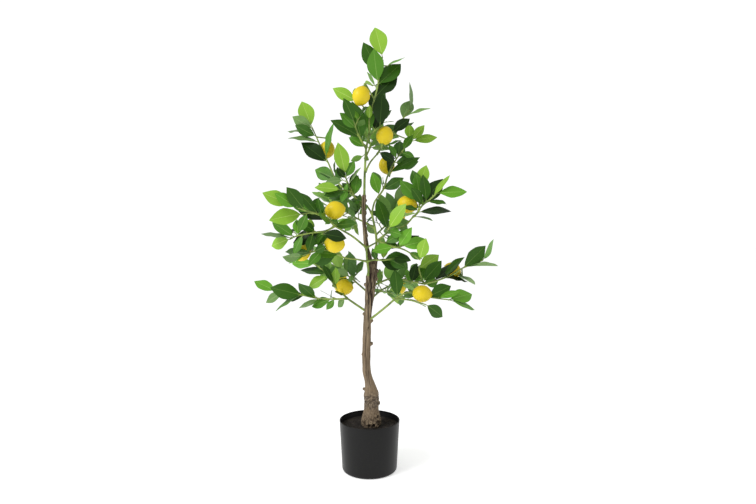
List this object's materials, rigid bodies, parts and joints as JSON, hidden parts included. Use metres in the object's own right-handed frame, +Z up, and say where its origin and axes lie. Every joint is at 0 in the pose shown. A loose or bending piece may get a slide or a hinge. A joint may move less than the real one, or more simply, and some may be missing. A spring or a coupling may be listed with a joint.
{
  "type": "artificial potted lemon tree",
  "caption": "Slim artificial lemon tree with loose sprays of glossy leaves and hanging yellow fruit, standing in a small round dark pot.",
  "frame": {"origin": "centre of the pot's flat underside, at the mount foot", "axes": "+Z up the trunk, +X to the right of the front view, +Y away from the front view"},
  "size_m": [0.7159, 0.4628, 1.211],
  "materials": {
    "pot": "satin",
    "fill": "matte",
    "bark": "matte",
    "stem": "satin",
    "foliage": "satin"
  },
  "bodies": {
    "root": {"pot": "pot", "fill": "fill", "trunk": "bark", "leader": "bark", "right_stub": "bark", "front_stem": "stem", "leader_stem": "stem", "top_right_stem": "stem", "upper_left_stem": "stem", "right_stem": "stem", "inner_left_stem": "stem", "right_upper_stem": "stem", "left_stem": "stem", "left_low_stem": "stem", "low_left_stem": "stem", "low_right_stem": "stem", "right_back_stem": "stem", "right_branch": "stem", "right_far_stem": "stem", "right_centre_stem": "stem", "crown_top": "foliage", "crown_top_left": "foliage", "crown_top_right": "foliage", "upper_left": "foliage", "inner_left": "foliage", "left_outer": "foliage", "left_mid": "foliage", "left_low": "foliage", "low_left": "foliage", "low_left_outer": "foliage", "low_right": "foliage", "right_mid": "foliage", "right_outer": "foliage", "right_low": "foliage", "right_upper": "foliage", "right_front": "foliage", "right_far": "foliage", "right_centre": "foliage", "back_left": "foliage", "back_top": "foliage", "back_right": "foliage", "back_low_right": "foliage", "back_low_left": "foliage"}
  },
  "joints": []
}
